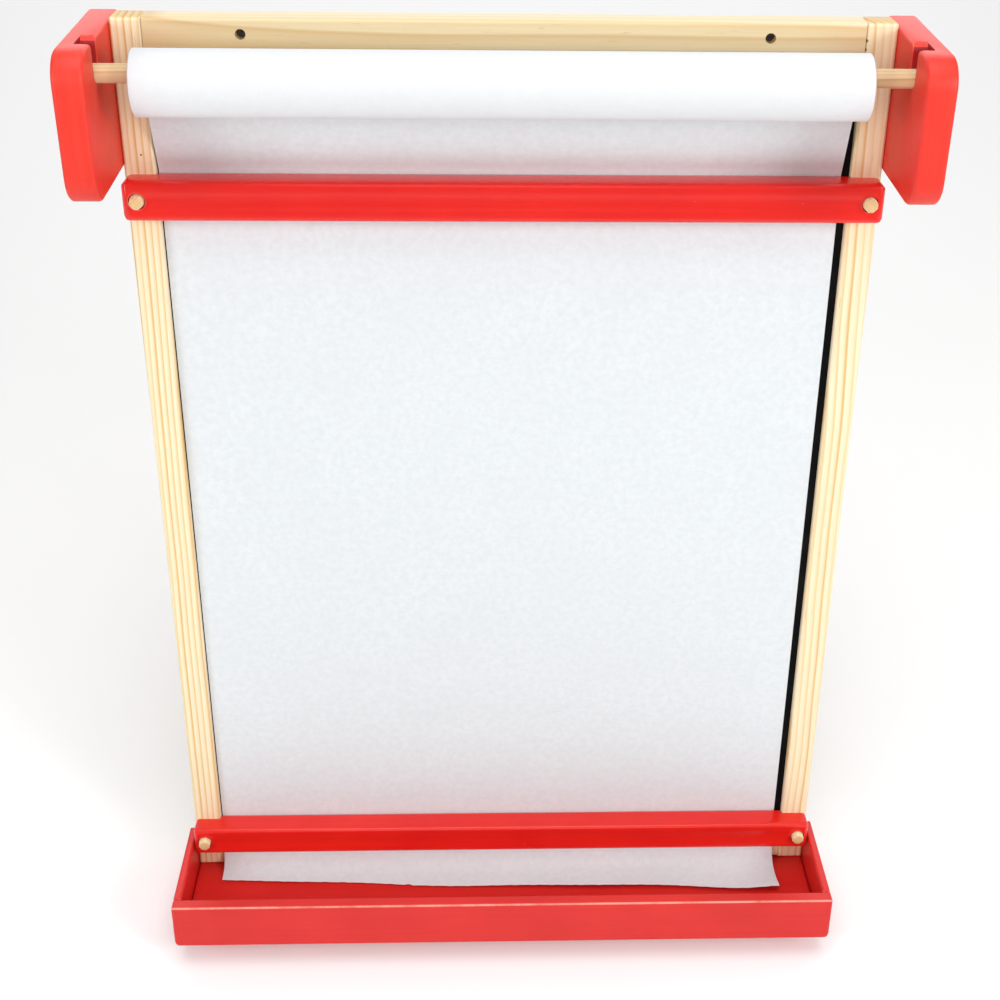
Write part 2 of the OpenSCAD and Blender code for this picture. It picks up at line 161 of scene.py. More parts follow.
def softened(name, ease, finish):
    """A CAD node's own shape with its loose triangles merged and its sharp edges eased."""
    mesh = frame["nodes"][name].data.copy()
    mesh.name = name + "_eased"
    work = bmesh.new()
    work.from_mesh(mesh)
    bmesh.ops.remove_doubles(work, verts=work.verts, dist=1e-6)
    bmesh.ops.dissolve_limit(work, angle_limit=math.radians(1), verts=work.verts, edges=work.edges)
    keen = [e for e in work.edges if len(e.link_faces) == 2 and e.calc_face_angle(0) > math.radians(40)]
    bmesh.ops.bevel(work, geom=keen, offset=ease, segments=3, profile=0.5, affect="EDGES",
                    clamp_overlap=True)
    bmesh.ops.remove_doubles(work, verts=work.verts, dist=1e-6)
    bmesh.ops.triangulate(work, faces=[f for f in work.faces if len(f.verts) > 4])
    work.to_mesh(mesh)
    work.free()
    if "custom_normal" in mesh.attributes:
        mesh.attributes.remove(mesh.attributes["custom_normal"])
    mesh.polygons.foreach_set("use_smooth", np.full(len(mesh.polygons), True))
    mesh.materials.clear()
    mesh.materials.append(finish)
    obj = bpy.data.objects.new(name + "_eased", mesh)
    bpy.context.collection.objects.link(obj)
    sharpen(obj, 35)
    return obj


def belongs(obj, body, slot, *nodes):
    """Attaches a finished piece to the body that it rides on and hides the CAD nodes that it stands for. The
    slot is not used.
    """
    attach(obj, body)
    if nodes:
        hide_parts(*nodes)
    return obj


# ---- Shader helpers ----

def new_material(name):
    """An empty node material and its tree."""
    made = bpy.data.materials.new(name)
    made.use_nodes = True
    made.node_tree.nodes.clear()
    return made, made.node_tree


def add(tree, kind, *wires, **settings):
    """Adds a node. Settings are its own choices, and each wire is (input, value or output)."""
    made = tree.nodes.new(kind)
    for key, value in settings.items():
        setattr(made, key, value)
    for socket, value in wires:
        if isinstance(value, bpy.types.NodeSocket):
            tree.links.new(value, made.inputs[socket])
        else:
            made.inputs[socket].default_value = value
    return made


def calc(tree, operation, *values):
    """The output of a maths node on up to three values."""
    return add(tree, "ShaderNodeMath", *enumerate(values), operation=operation).outputs[0]


def distance(tree, first, first_at, second, second_at):
    """How far a pair of values is from a fixed pair."""
    one = calc(tree, "SUBTRACT", first, float(first_at))
    other = calc(tree, "SUBTRACT", second, float(second_at))
    squares = calc(tree, "ADD", calc(tree, "MULTIPLY", one, one), calc(tree, "MULTIPLY", other, other))
    return calc(tree, "SQRT", squares)


def combine(tree, x, y, z):
    """A vector from three values."""
    return add(tree, "ShaderNodeCombineXYZ", (0, x), (1, y), (2, z)).outputs[0]


def noise(tree, vector, scale, detail=2.0, rough=0.5):
    """Noise from 0 to 1, about 0.5."""
    return add(tree, "ShaderNodeTexNoise", ("Vector", vector), ("Scale", scale), ("Detail", detail),
               ("Roughness", rough)).outputs[0]


def ramp(tree, value, *stops):
    """A colour or grey ramp; each stop is (place, grey or colour)."""
    made = add(tree, "ShaderNodeValToRGB", ("Fac", value))
    elements = made.color_ramp.elements
    while len(elements) < len(stops):
        elements.new(0.5)
    for element, (place, shade) in zip(elements, stops):
        element.position = place
        element.color = (*shade, 1) if isinstance(shade, tuple) else (shade, shade, shade, 1)
    return made.outputs[0]


def mix(tree, factor, one, other, blend_type="MIX"):
    """One colour mixed towards another."""
    made = tree.nodes.new("ShaderNodeMix")
    made.data_type = "RGBA"
    made.blend_type = blend_type
    for socket, value in ((0, factor), (6, one), (7, other)):
        if isinstance(value, bpy.types.NodeSocket):
            tree.links.new(value, made.inputs[socket])
        elif isinstance(value, tuple):
            made.inputs[socket].default_value = (*value, 1)
        else:
            made.inputs[socket].default_value = value
    return made.outputs[2]


def bump(tree, height, depth, strength=1.0, under=None):
    """A normal roughened by a height from 0 to 1 that stands for a depth in metres."""
    made = add(tree, "ShaderNodeBump", ("Strength", strength), ("Distance", depth), ("Height", height))
    if under is not None:
        tree.links.new(under, made.inputs["Normal"])
    return made.outputs[0]


def surface(tree, colour, roughness, normal, **fixed):
    """The principled shader, with fixed values on its own sockets."""
    made = add(tree, "ShaderNodeBsdfPrincipled", ("Base Color", colour), ("Roughness", roughness))
    if normal is not None:
        tree.links.new(normal, made.inputs["Normal"])
    for key, value in fixed.items():
        made.inputs[key.replace("_", " ")].default_value = value
    add(tree, "ShaderNodeOutputMaterial", ("Surface", made.outputs[0]))


def board_axes(tree, turn=LEAN):
    """X, N and U of the shaded point as three outputs, in metres."""
    place = add(tree, "ShaderNodeTexCoord").outputs["Object"]
    mapped = add(tree, "ShaderNodeMapping", ("Vector", place), ("Rotation", (turn, 0, 0)),
                 ("Location", tuple(-BOARD_ORIGIN)))
    return add(tree, "ShaderNodeSeparateXYZ", ("Vector", mapped.outputs[0])).outputs


def along_grain(tree, grain, turn):
    """The two axes across a board and the one along its grain."""
    x, n, u = board_axes(tree, turn)
    return {"x": (n, u, x), "n": (x, u, n), "u": (x, n, u)}[grain]


def end_grain(tree, grain, turn):
    """0 on a board's long faces and 1 on its ends, from the direction of its surface."""
    facing = add(tree, "ShaderNodeTexCoord").outputs["Normal"]
    turned = add(tree, "ShaderNodeMapping", ("Vector", facing), ("Rotation", (turn, 0, 0)))
    parts = add(tree, "ShaderNodeSeparateXYZ", ("Vector", turned.outputs[0])).outputs
    size = calc(tree, "ABSOLUTE", parts["xnu".index(grain)])
    return ramp(tree, size, (0.55, 0.0), (0.9, 1.0))


# ---- Materials ----

PINE_PALE = (0.925, 0.820, 0.585)
PINE_MID = (0.865, 0.680, 0.390)
PINE_DARK = (0.740, 0.460, 0.170)


def spot(tree, x, u, place, size):
    """1 within a small round mark at a place on a board's front, and 0 outside it."""
    away = distance(tree, x, place[0], u, place[1])
    return ramp(tree, calc(tree, "DIVIDE", away, size), (0.35, 1.0), (0.60, 0.0))


def wide_ring(tree, x, u, top):
    """One broad dark ring that starts at a rail's top edge on its left and sinks as it runs right."""
    start, run, sink = 181 * MM, 45 * MM, 8 * MM
    fall = calc(tree, "EXPONENT", calc(tree, "DIVIDE", calc(tree, "ADD", x, start), -run))
    line = calc(tree, "MULTIPLY_ADD", fall, sink, top - sink)
    line = calc(tree, "MULTIPLY_ADD", calc(tree, "SINE", calc(tree, "MULTIPLY", x, 34.0)), 0.35 * MM, line)
    below = calc(tree, "DIVIDE", calc(tree, "SUBTRACT", line, u), 10 * MM)
    return ramp(tree, calc(tree, "ADD", below, 0.2), (0.06, 0.0), (0.20, 0.85), (0.34, 0.55), (0.60, 0.25),
                (1.0, 0.35))


def pine(name, grain, pith, spacing=3.6 * MM, turn=LEAN, pale=PINE_PALE, mid=PINE_MID, dark=PINE_DARK,
         contrast=1.0, drift=(0.01, 0.01), seed=0.0, rough=0.5, sway=6.0 * MM, ring_top=None, marks=()):
    """Sanded pine. Growth rings are cylinders round a pith line that runs beside the board, so long
    faces show stripes and ends show arcs. Each ring darkens slowly, then turns pale at once. A rail
    can carry one broad ring, and marks are small dark spots of glue or nail on its front."""
    made, tree = new_material(name)
    a, b, along = along_grain(tree, grain, turn)
    slow = combine(tree, calc(tree, "MULTIPLY_ADD", a, 6.0, seed), calc(tree, "MULTIPLY", b, 6.0),
                   calc(tree, "MULTIPLY", along, 2.2))
    wander = calc(tree, "SUBTRACT", noise(tree, slow, 1.6, 2.0), 0.5)
    away_a = calc(tree, "SUBTRACT", a, calc(tree, "MULTIPLY_ADD", along, drift[0], pith[0]))
    away_b = calc(tree, "SUBTRACT", b, calc(tree, "MULTIPLY_ADD", along, drift[1], pith[1]))
    radius = calc(tree, "SQRT", calc(tree, "ADD", calc(tree, "MULTIPLY", away_a, away_a),
                                     calc(tree, "MULTIPLY", away_b, away_b)))
    wandered = calc(tree, "MULTIPLY_ADD", wander, sway, radius)
    phase = calc(tree, "FRACT", calc(tree, "DIVIDE", wandered, spacing))
    late = ramp(tree, phase, (0.0, 0.12), (0.10, 0.0), (0.45, 0.10), (0.70, 0.55), (0.88, 1.0),
                (0.97, 0.5), (1.0, 0.12))
    age = calc(tree, "FLOOR", calc(tree, "DIVIDE", wandered, spacing))
    year = add(tree, "ShaderNodeTexWhiteNoise", ("W", calc(tree, "ADD", age, seed)),
               noise_dimensions="1D").outputs[0]
    late = calc(tree, "MULTIPLY", late, calc(tree, "MULTIPLY_ADD", year, 0.7, 0.5 * contrast))
    fibre_place = combine(tree, calc(tree, "MULTIPLY_ADD", a, 1400.0, seed),
                          calc(tree, "MULTIPLY", b, 1400.0), calc(tree, "MULTIPLY", along, 22.0))
    fibre = noise(tree, fibre_place, 1.0, 4.0, 0.6)
    vessel_place = combine(tree, calc(tree, "MULTIPLY_ADD", a, 900.0, seed + 3.1),
                           calc(tree, "MULTIPLY", b, 900.0), calc(tree, "MULTIPLY", along, 70.0))
    vessels = ramp(tree, noise(tree, vessel_place, 1.0, 1.0), (0.70, 0.0), (0.78, 1.0))
    body = mix(tree, ramp(tree, late, (0.0, 0.0), (0.5, 1.0)), pale, mid)
    body = mix(tree, ramp(tree, late, (0.5, 0.0), (1.0, 1.0)), body, dark)
    tone = noise(tree, slow, 3.0, 3.0)
    body = mix(tree, ramp(tree, tone, (0.35, 0.22), (0.65, 0.0)), body, (0.88, 0.68, 0.42))
    body = mix(tree, calc(tree, "MULTIPLY", ramp(tree, fibre, (0.38, 1.0), (0.62, 0.0)), 0.16), body,
               (0.62, 0.42, 0.2))
    body = mix(tree, calc(tree, "MULTIPLY", vessels, 0.25), body, (0.42, 0.24, 0.1))
    x, n, u = board_axes(tree, turn)
    if ring_top is not None:
        ring = calc(tree, "MULTIPLY", wide_ring(tree, x, u, ring_top), 0.72)
        body = mix(tree, ring, body, (0.60, 0.37, 0.14))
    for place, size in marks:
        mark = calc(tree, "MULTIPLY", spot(tree, x, u, place, size), 0.9)
        body = mix(tree, mark, body, (0.16, 0.07, 0.04))
    ends = end_grain(tree, grain, turn)
    body = mix(tree, calc(tree, "MULTIPLY", ends, 0.75), body, (0.78, 0.62, 0.43), "MULTIPLY")
    roughness = calc(tree, "ADD", calc(tree, "MULTIPLY_ADD", fibre, 0.16, rough - 0.08),
                     calc(tree, "MULTIPLY", ends, 0.25))
    height = calc(tree, "ADD", calc(tree, "MULTIPLY", fibre, 0.5), calc(tree, "MULTIPLY", late, 0.5))
    normal = bump(tree, height, 0.12 * MM, 0.5)
    surface(tree, body, roughness, normal, Specular_IOR_Level=0.35)
    return made


def red_paint(name, grain, bright, deep, rough=0.3, worn=0.35, grain_depth=0.05 * MM, seed=0.0, coat=0.0,
              figure=0.35, rubbed_line=None, slot_shade=None):
    """Brushed satin paint on wood: it pools and thins a little, shows the grain under it and the
    brush over it, carries a few specks of dust and is rubbed pale along its edges. A rubbed line is
    an edge, given by its N and U, that hands have worn through. The slot box given with it marks a
    slot whose walls are painted dark crimson as painted shade, for the shadow inside the slot."""
    made, tree = new_material(name)
    a, b, along = along_grain(tree, grain, LEAN)
    x, n, u = board_axes(tree)
    place = combine(tree, calc(tree, "ADD", x, seed), n, u)
    cloud = noise(tree, place, 14.0, 5.0, 0.55)
    stroke_place = combine(tree, calc(tree, "MULTIPLY_ADD", a, 420.0, seed),
                           calc(tree, "MULTIPLY", b, 420.0), calc(tree, "MULTIPLY", along, 9.0))
    strokes = noise(tree, stroke_place, 1.0, 4.0, 0.62)
    grain_place = combine(tree, calc(tree, "MULTIPLY_ADD", a, 1300.0, seed + 5.0),
                          calc(tree, "MULTIPLY", b, 1300.0), calc(tree, "MULTIPLY", along, 38.0))
    fibres = noise(tree, grain_place, 1.0, 3.0)
    fine = noise(tree, place, 1900.0, 2.0)
    body = mix(tree, ramp(tree, cloud, (0.30, 0.75), (0.70, 0.0)), bright, deep)
    stroke_share = calc(tree, "MULTIPLY", ramp(tree, strokes, (0.35, 1.0), (0.7, 0.0)), figure)
    body = mix(tree, stroke_share, body, deep)
    speck_place = add(tree, "ShaderNodeTexVoronoi", ("Vector", place), ("Scale", 140.0))
    speck = ramp(tree, speck_place.outputs["Distance"], (0.035, 1.0), (0.06, 0.0))
    chosen = add(tree, "ShaderNodeSeparateXYZ", ("Vector", speck_place.outputs["Color"])).outputs[0]
    speck = calc(tree, "MULTIPLY", speck, calc(tree, "GREATER_THAN", chosen, 0.86))
    body = mix(tree, calc(tree, "MULTIPLY", speck, 0.5), body, (0.75, 0.25, 0.2))
    round_normal = add(tree, "ShaderNodeBevel", ("Radius", 1.6 * MM), samples=6).outputs[0]
    true_normal = add(tree, "ShaderNodeNewGeometry").outputs["True Normal"]
    facing = add(tree, "ShaderNodeVectorMath", (0, round_normal), (1, true_normal),
                 operation="DOT_PRODUCT")
    edge = ramp(tree, calc(tree, "SUBTRACT", 1.0, facing.outputs["Value"]), (0.02, 0.0), (0.12, 1.0))
    rub = ramp(tree, noise(tree, place, 65.0, 5.0, 0.7), (0.44, 0.0), (0.62, 1.0))
    rubbed = calc(tree, "MULTIPLY", calc(tree, "MULTIPLY", edge, rub), worn)
    if rubbed_line is not None:
        away = distance(tree, n, rubbed_line[0], u, rubbed_line[1])
        on_edge = ramp(tree, calc(tree, "DIVIDE", away, 3 * MM), (0.16, 1.0), (0.42, 0.0))
        patchy = ramp(tree, noise(tree, place, 48.0, 5.0, 0.7), (0.30, 0.25), (0.55, 1.0))
        rubbed = calc(tree, "MAXIMUM", rubbed, calc(tree, "MULTIPLY", on_edge, patchy))
    body = mix(tree, rubbed, body, (0.88, 0.40, 0.31))
    # Painted shade: inside the slot's box the colour turns dark crimson, standing in for the shadow in the
    # slot.
    if slot_shade is not None:
        low, high = slot_shade
        inside = 1.0
        for value, least, most in zip((calc(tree, "ABSOLUTE", x), n, u), low, high):
            inside = calc(tree, "MULTIPLY", inside, calc(tree, "GREATER_THAN", value, float(least)))
            inside = calc(tree, "MULTIPLY", inside, calc(tree, "LESS_THAN", value, float(most)))
        body = mix(tree, calc(tree, "MULTIPLY", inside, 0.85), body, (0.30, 0.002, 0.008))
    roughness = calc(tree, "ADD", calc(tree, "MULTIPLY_ADD", strokes, 0.14, rough - 0.07),
                     calc(tree, "MULTIPLY", rubbed, 0.25))
    normal = bump(tree, fibres, grain_depth, 0.35)
    normal = bump(tree, strokes, 1.6 * grain_depth, 0.35, normal)
    normal = bump(tree, fine, 0.01 * MM, 0.3, normal)
    surface(tree, body, roughness, normal, Specular_IOR_Level=0.34, Coat_Weight=coat,
            Coat_Roughness=0.12)
    return made


def paper(name, colour, mottle=1.0, seed=0.0):
    """Uncoated drawing paper: a cloudy felt of fibres, a faint tooth and a soft surface."""
    made, tree = new_material(name)
    x, n, u = board_axes(tree)
    place = combine(tree, calc(tree, "ADD", x, seed), n, u)
    clouds = noise(tree, place, 260.0, 5.0, 0.62)
    patches = noise(tree, place, 22.0, 3.0, 0.55)
    laid_place = combine(tree, calc(tree, "MULTIPLY_ADD", x, 110.0, seed),
                         calc(tree, "MULTIPLY", n, 500.0), calc(tree, "MULTIPLY", u, 620.0))
    laid = noise(tree, laid_place, 1.0, 3.0)
    grit = noise(tree, place, 2600.0, 2.0)
    darker = tuple(c * (1 - 0.075 * mottle) for c in colour)
    body = mix(tree, ramp(tree, clouds, (0.36, 1.0), (0.62, 0.0)), colour, darker)
    patch_share = calc(tree, "MULTIPLY", ramp(tree, patches, (0.35, 1.0), (0.65, 0.0)), 0.35)
    body = mix(tree, patch_share, body, darker)
    laid_share = calc(tree, "MULTIPLY", ramp(tree, laid, (0.40, 1.0), (0.60, 0.0)), 0.25)
    body = mix(tree, laid_share, body, darker)
    height = calc(tree, "ADD", calc(tree, "MULTIPLY", clouds, 0.5), calc(tree, "MULTIPLY", grit, 0.5))
    normal = bump(tree, height, 0.06 * MM, 0.45)
    surface(tree, body, calc(tree, "MULTIPLY_ADD", grit, 0.1, 0.78), normal, Specular_IOR_Level=0.25)
    return made


def chalkboard(name):
    """Matte black board paint in front, with a little chalk dust wiped across it, over a brown
    hardboard whose back shows the wire screen that it was pressed on."""
    made, tree = new_material(name)
    x, n, u = board_axes(tree)
    place = combine(tree, x, n, u)
    tooth = noise(tree, place, 3200.0, 2.0)
    wipe_place = combine(tree, calc(tree, "MULTIPLY", x, 9.0), n, calc(tree, "MULTIPLY", u, 60.0))
    wipe = noise(tree, wipe_place, 1.0, 4.0)
    black = mix(tree, calc(tree, "MULTIPLY", ramp(tree, wipe, (0.45, 0.0), (0.75, 1.0)), 0.05),
                (0.0035, 0.0035, 0.004), (0.10, 0.09, 0.08))
    fluff = noise(tree, place, 420.0, 5.0, 0.65)
    brown = mix(tree, ramp(tree, fluff, (0.35, 0.0), (0.65, 1.0)), (0.120, 0.055, 0.025),
                (0.245, 0.130, 0.065))
    wire = 2 * math.pi / (1.4 * MM)
    weave = calc(tree, "MULTIPLY", calc(tree, "SINE", calc(tree, "MULTIPLY", x, wire)),
                 calc(tree, "SINE", calc(tree, "MULTIPLY", u, wire)))
    weave = calc(tree, "MULTIPLY_ADD", weave, 0.5, 0.5)
    brown = mix(tree, calc(tree, "MULTIPLY", weave, 0.3), brown, (0.07, 0.03, 0.015))
    facing = add(tree, "ShaderNodeTexCoord").outputs["Normal"]
    outward = add(tree, "ShaderNodeVectorMath", (0, facing), (1, tuple(OUT)), operation="DOT_PRODUCT")
    front = calc(tree, "GREATER_THAN", outward.outputs["Value"], 0.5)
    body = mix(tree, front, brown, black)
    height = calc(tree, "ADD", calc(tree, "MULTIPLY", front, calc(tree, "MULTIPLY", tooth, 0.1)),
                  calc(tree, "MULTIPLY", calc(tree, "SUBTRACT", 1.0, front), weave))
    normal = bump(tree, height, 0.25 * MM, 0.5)
    surface(tree, body, calc(tree, "MULTIPLY_ADD", tooth, 0.2, 0.55), normal, Specular_IOR_Level=0.08)
    return made


def cardboard(name):
    """Grey-brown tube board wound in a slow spiral."""
    made, tree = new_material(name)
    x, n, u = board_axes(tree)
    place = combine(tree, x, n, u)
    fibre = noise(tree, place, 700.0, 4.0, 0.6)
    seam_turn = calc(tree, "ARCTAN2", calc(tree, "SUBTRACT", u, float(ROLL_U)),
                     calc(tree, "SUBTRACT", n, float(ROLL_N)))
    wind = calc(tree, "FRACT", calc(tree, "ADD", calc(tree, "DIVIDE", seam_turn, 2 * math.pi),
                                    calc(tree, "DIVIDE", x, 38 * MM)))
    seam = ramp(tree, wind, (0.0, 1.0), (0.02, 0.0))
    body = mix(tree, ramp(tree, fibre, (0.35, 0.0), (0.65, 1.0)), (0.40, 0.27, 0.16), (0.55, 0.41, 0.27))
    body = mix(tree, calc(tree, "MULTIPLY", seam, 0.7), body, (0.18, 0.11, 0.06))
    normal = bump(tree, fibre, 0.1 * MM, 0.5)
    surface(tree, body, calc(tree, "MULTIPLY_ADD", fibre, 0.1, 0.8), normal, Specular_IOR_Level=0.2)
    return made


def plated(name, colour, rough, stain):
    """Plated steel: a fine grit, cloudy plating and a little tarnish."""
    made, tree = new_material(name)
    x, n, u = board_axes(tree)
    place = combine(tree, x, n, u)
    cloud = noise(tree, place, 500.0, 4.0, 0.6)
    grit = noise(tree, place, 5200.0, 2.0)
    body = mix(tree, ramp(tree, cloud, (0.4, 0.0), (0.7, 1.0)), colour, stain)
    normal = bump(tree, grit, 0.02 * MM, 0.4)
    surface(tree, body, calc(tree, "MULTIPLY_ADD", cloud, 0.25, rough - 0.1), normal, Metallic=1.0)
    return made


RED_BRIGHT = (0.84, 0.023, 0.013)
RED_DEEP = (0.68, 0.010, 0.009)

# Each board has its own place in the log: where its pith lies, in metres, and its ring spacing.
BOARDS = {
    "left_stile": dict(grain="u", pith=(-0.265, 0.004), spacing=3.5 * MM, drift=(0.006, 0.0), seed=1.3,
                       contrast=1.45, marks=[((-0.1903, 0.4758), 1.1 * MM)]),
    "right_stile": dict(grain="u", pith=(0.120, -0.012), spacing=4.3 * MM, drift=(-0.012, 0.0), seed=7.9,
                        contrast=1.15, sway=15 * MM, marks=[((0.1840, 0.5369), 1.8 * MM),
                                                            ((0.1839, 0.5324), 1.4 * MM)]),
    "top_rail": dict(grain="x", pith=(-0.034, 0.536), spacing=6.2 * MM, drift=(0.0, -0.045), seed=4.4,
                     contrast=0.55, ring_top=0.546, pale=(0.79, 0.675, 0.45), mid=(0.75, 0.585, 0.33)),
    "bottom_rail": dict(grain="x", pith=(0.05, 0.03), spacing=3.4 * MM, seed=12.0),
    "left_hinge_block": dict(grain="x", pith=(0.07, 0.50), spacing=3.0 * MM, seed=15.0),
    "right_hinge_block": dict(grain="x", pith=(0.00, 0.57), spacing=3.3 * MM, seed=18.0),
}
LEG_TURN = -math.radians(13)
LEG_BOARDS = {
    "left_rear_leg": dict(grain="u", pith=(-0.11, 0.30), spacing=3.8 * MM, seed=21.0),
    "right_rear_leg": dict(grain="u", pith=(0.21, 0.16), spacing=3.2 * MM, seed=24.0),
    "leg_lower_rail": dict(grain="x", pith=(0.16, 0.12), spacing=3.5 * MM, seed=27.0),
    "leg_upper_rail": dict(grain="x", pith=(0.24, 0.38), spacing=4.0 * MM, seed=30.0),
}


# ---- Pieces ----

def smooth_path(points, step):
    """A Catmull-Rom curve through points, resampled at even steps of its own length."""
    p = np.asarray(points, float)
    ends = np.vstack([2 * p[0] - p[1], p, 2 * p[-1] - p[-2]])
    t = np.linspace(0, 1, 24, endpoint=False)[:, None]
    parts = [0.5 * (2 * b + (c - a) * t + (2 * a - 5 * b + 4 * c - d) * t**2
                    + (3 * b - a - 3 * c + d) * t**3)
             for a, b, c, d in zip(ends, ends[1:], ends[2:], ends[3:])]
    curve = np.vstack([*parts, p[-1:]])
    length = np.concatenate([[0], np.cumsum(np.linalg.norm(np.diff(curve, axis=0), axis=1))])
    count = max(int(length[-1] / step), 2) + 1
    even = np.linspace(0, length[-1], count)
    return np.stack([np.interp(even, length, curve[:, k]) for k in range(curve.shape[1])], 1), length[-1]


def sheet_route():
    """N and U along the sheet, from past its torn end in the tray to the back of the roll."""
    lip = float(board_box("bottom_rail")[1][2])
    lie = float(PANEL_LOW[1]) - 0.2 * MM
    leave = np.array([lie, float(UPPER_HIGH[2]) + 0.5 * MM])
    to_axis = np.array([ROLL_N, ROLL_U]) - leave
    wrap = ROLL_R + 0.12 * MM
    tangent = math.atan2(to_axis[1], to_axis[0]) - math.asin(wrap / np.hypot(*to_axis))
    free = math.sqrt(to_axis @ to_axis - wrap * wrap)
    slack = np.array([0.06, 0.2, 0.4, 0.6, 0.8, 1.0])[:, None]
    rise = leave + free * slack * np.array([math.cos(tangent), math.sin(tangent)])
    tail = np.array([[-42, 5.4], [-36, 3.6], [-28, 1.9], [-20, 1.0], [-13, 0.9], [-8, 1.7], [-4.6, 3.8],
                     [-2.4, 7.2], [-1.2, 11], [-0.7, 14.6]]) * MM
    over_lip = np.array([[-0.1 * MM, lip + 0.15 * MM], [2.2 * MM, lip + 0.45 * MM],
                         [3.9 * MM, lip + 0.8 * MM], [lie - 0.25 * MM, lip + 2.0 * MM],
                         [lie, lip + 4.5 * MM]])
    up_board = np.stack([np.full(30, lie), np.linspace(lip + 20 * MM, leave[1] - 5 * MM, 30)], 1)
    path, length = smooth_path(np.vstack([tail, over_lip, up_board, leave, rise]), 0.5 * MM)
    return np.stack([np.minimum(path[:, 0], lie), path[:, 1]], 1), length


def torn_end(x):
    """How far in front of the frame the sheet's torn end lies at x: a slope, slow waves, and small
    nicks where the fibres gave way."""
    across = (x - SHEET_LOW[0]) / (SHEET_HIGH[0] - SHEET_LOW[0])
    slope = -0.0185 - 0.0150 * across
    waves = 0.0009 * np.sin(across * 9.5 + 0.6) + 0.0005 * np.sin(across * 23.0 + 2.0)
    nicks = 0.00012 * np.sin(across * 211.0) + 0.00010 * np.sin(across * 377.0 + 1.0)
    bite = 0.0007 * np.exp(-((across - 0.335) / 0.004) ** 2)
    bite = bite - 0.0006 * np.exp(-((across - 0.345) / 0.003) ** 2)
    return slope + waves + nicks + bite


def paper_sheet(finish):
    """The sheet is a grid: columns run across it, and rows follow its route from the torn end up to
    the roll. Slow ripples lift it off the board between the bars. It gets its thickness last."""
    path, length = sheet_route()
    run = np.concatenate([[0], np.cumsum(np.linalg.norm(np.diff(path, axis=0), axis=1))])
    x = np.linspace(SHEET_LOW[0], SHEET_HIGH[0], 260)
    tail = (path[:, 0] < -10 * MM) & (path[:, 1] < 20 * MM)
    start = np.interp(torn_end(x), path[tail, 0], run[tail])
    rows = np.concatenate([np.linspace(0, 0.10, 46, endpoint=False), np.linspace(0.10, 1, 130)])
    s = start[None, :] + rows[:, None] * (length - start[None, :])
    n = np.interp(s, run, path[:, 0])
    u = np.interp(s, run, path[:, 1])
    slope_n, slope_u = np.gradient(path[:, 0], run), np.gradient(path[:, 1], run)
    normal = np.stack([-np.interp(s, run, slope_u), np.interp(s, run, slope_n)], -1)
    low, high = float(LOWER_HIGH[2]), float(UPPER_LOW[2])
    between = np.clip((u - low) / (high - low), 0, 1)
    hold = np.where(n > 0, np.sin(np.pi * between) ** 0.5, 0)
    across = (x[None, :] - SHEET_LOW[0]) / (SHEET_HIGH[0] - SHEET_LOW[0])
    ripple = 0.5 + 0.25 * np.sin(2 * np.pi * (1.3 * across + 0.8 * between) + 0.4)
    ripple = ripple + 0.25 * np.sin(2 * np.pi * (2.1 * across - 1.1 * between) + 2.0)
    lift = 0.9 * MM * hold * ripple
    in_tray = np.clip((0.0 - n) / (30 * MM), 0, 1) * (u < 20 * MM)
    lift = lift + in_tray * MM * (0.5 + 0.9 * np.sin(2 * np.pi * 1.6 * across + 1.0)) * (across * 0.6 + 0.4)
    lift = lift + in_tray ** 3 * 2.4 * MM * np.exp(-((1 - across) / 0.05) ** 2)
    n = n + normal[..., 0] * lift
    u = u + normal[..., 1] * lift
    u = np.where(u < 20 * MM, np.maximum(u, 0.35 * MM), u)
    half = 0.12 * MM
    wide = np.broadcast_to(x, n.shape)
    sides = [np.stack([wide, n + k * normal[..., 0] * half, u + k * normal[..., 1] * half], -1)
             for k in (1, -1)]
    count = n.size
    rows_n, cols_n = n.shape
    quads = grid_faces(rows_n, cols_n)
    index = np.arange(count).reshape(rows_n, cols_n)
    rim = np.concatenate([index[0, :], index[1:, -1], index[-1, -2::-1], index[-2:0:-1, 0]])
    walls = np.stack([rim, np.roll(rim, -1), np.roll(rim, -1) + count, rim + count], 1)
    points = from_board(np.stack(sides)).reshape(-1, 3)
    faces = np.vstack([quads, quads[:, ::-1] + count, walls])
    obj = piece("drawing_paper", points, faces, finish)
    sharpen(obj, 60)
    return obj, length - float(start.mean())


def paper_roll(finish):
    """Wound paper: turned from the core's outside out over the edge. Each end steps in and out a
    little from layer to layer, as a roll that has been used does."""
    core = float(board_box("roll_core")[1][2] - ROLL_U)
    layers = np.linspace(core, ROLL_R, 44)
    step = 0.16 * MM * np.sin(layers / MM * 7.0) + 0.10 * MM * np.sin(layers / MM * 17.0 + 1.0)
    left, right = float(ROLL_LOW[0]) + 0.3 * MM, float(ROLL_HIGH[0]) - 0.3 * MM
    outside = np.linspace(left, right, 40)[1:-1]
    soft = 0.35 * MM
    profile = [(left + a, r) for a, r in zip(step, layers)]
    profile[-1] = (left + 0.1 * MM, ROLL_R - soft * 0.5)
    profile += [(left + soft, ROLL_R)] + [(v, ROLL_R) for v in outside[1:-1]] + [(right - soft, ROLL_R)]
    back = [(right - a, r) for a, r in zip(step, layers)]
    back[-1] = (right - 0.1 * MM, ROLL_R - soft * 0.5)
    profile += back[::-1]
    sides = 128
    angle = np.linspace(0, 2 * math.pi, sides, endpoint=False)
    profile = np.array(profile)
    slack = 1 + 0.0022 * np.sin(2 * angle + 0.6)[None, :] * (profile[:, 1:2] > ROLL_R * 0.98)
    radius = np.minimum(profile[:, 1:2] * slack, ROLL_R)
    rings = np.stack([np.repeat(profile[:, :1], sides, 1), ROLL_N + radius * np.cos(angle),
                      ROLL_U + radius * np.sin(angle)], -1)
    faces = grid_faces(len(profile) + 1, sides, closed=True)
    faces = faces % (len(profile) * sides)
    return piece("wound_paper", from_board(rings), faces, finish)


